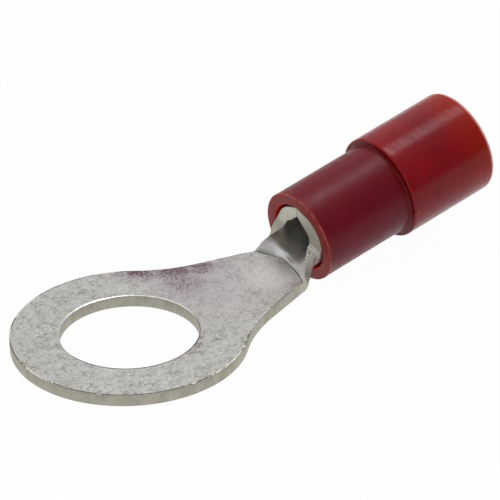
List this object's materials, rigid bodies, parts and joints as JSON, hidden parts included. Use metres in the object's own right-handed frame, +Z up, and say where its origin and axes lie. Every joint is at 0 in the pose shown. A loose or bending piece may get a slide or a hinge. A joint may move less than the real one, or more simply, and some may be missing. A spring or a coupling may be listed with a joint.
{
  "type": "insulated ring terminal",
  "caption": "Insulated ring terminal: a flat ring with a stud hole and tapering tongue that curls into a wire barrel, which sits in a stepped red insulating sleeve.",
  "frame": {"origin": "centre of the stud hole, on the underside of the flat ring", "axes": "+X along the tongue towards the wire end, +Z up out of the flat ring, along the stud; the sleeve rises at 8.2 degrees to X"},
  "size_m": [0.0525, 0.0222, 0.0125],
  "materials": {
    "tinned_copper": "satin tin plating",
    "nylon_sleeve": "gloss"
  },
  "bodies": {
    "root": {"terminal_stamping": "tinned_copper", "insulating_sleeve": "nylon_sleeve"}
  },
  "joints": []
}
